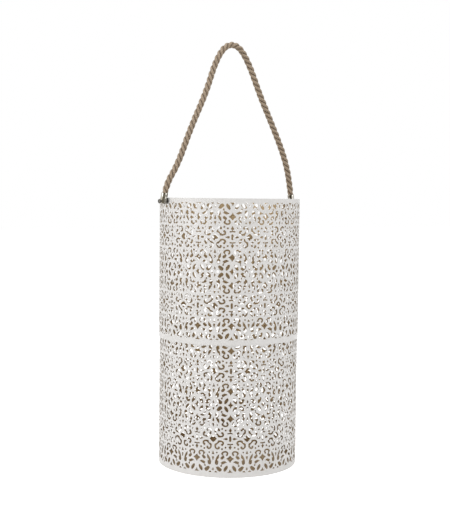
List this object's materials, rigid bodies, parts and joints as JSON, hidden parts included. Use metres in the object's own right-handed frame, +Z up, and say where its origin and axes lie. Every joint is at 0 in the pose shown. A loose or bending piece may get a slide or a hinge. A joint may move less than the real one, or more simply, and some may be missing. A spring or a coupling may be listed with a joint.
{
  "type": "hanging lantern",
  "caption": "Open-topped pierced metal cylinder lantern with a twisted rope bail that swings on bolted metal ends.",
  "frame": {"origin": "middle of the lantern's foot, on the surface that it stands on", "axes": "+Z up the drum's axis; X through the two bolts of the bail, +X to the right-hand bolt"},
  "size_m": [0.2166, 0.19, 0.5704],
  "materials": {
    "painted_sheet": "matte off-white powder coat outside, bronze-gold inside",
    "bolt_steel": "zinc plated, slightly dulled",
    "ferrule_chrome": "bright nickel chrome",
    "jute_rope": "natural twisted jute, three strands"
  },
  "bodies": {
    "lantern": {"upper_panel": "painted_sheet", "lower_panel": "painted_sheet", "base_plate": "painted_sheet", "left_bolt": "bolt_steel", "right_bolt": "bolt_steel", "left_washer": "bolt_steel", "right_washer": "bolt_steel", "left_nut": "bolt_steel", "right_nut": "bolt_steel"},
    "handle": {"left_ferrule": "ferrule_chrome", "right_ferrule": "ferrule_chrome", "rope": "jute_rope"}
  },
  "joints": [
    {"name": "bail_swing", "type": "hinge", "parent": "lantern", "child": "handle", "pos_m": [0, 0, 0.3552], "axis": [1, 0, 0], "range_deg": [-60, 60]}
  ]
}
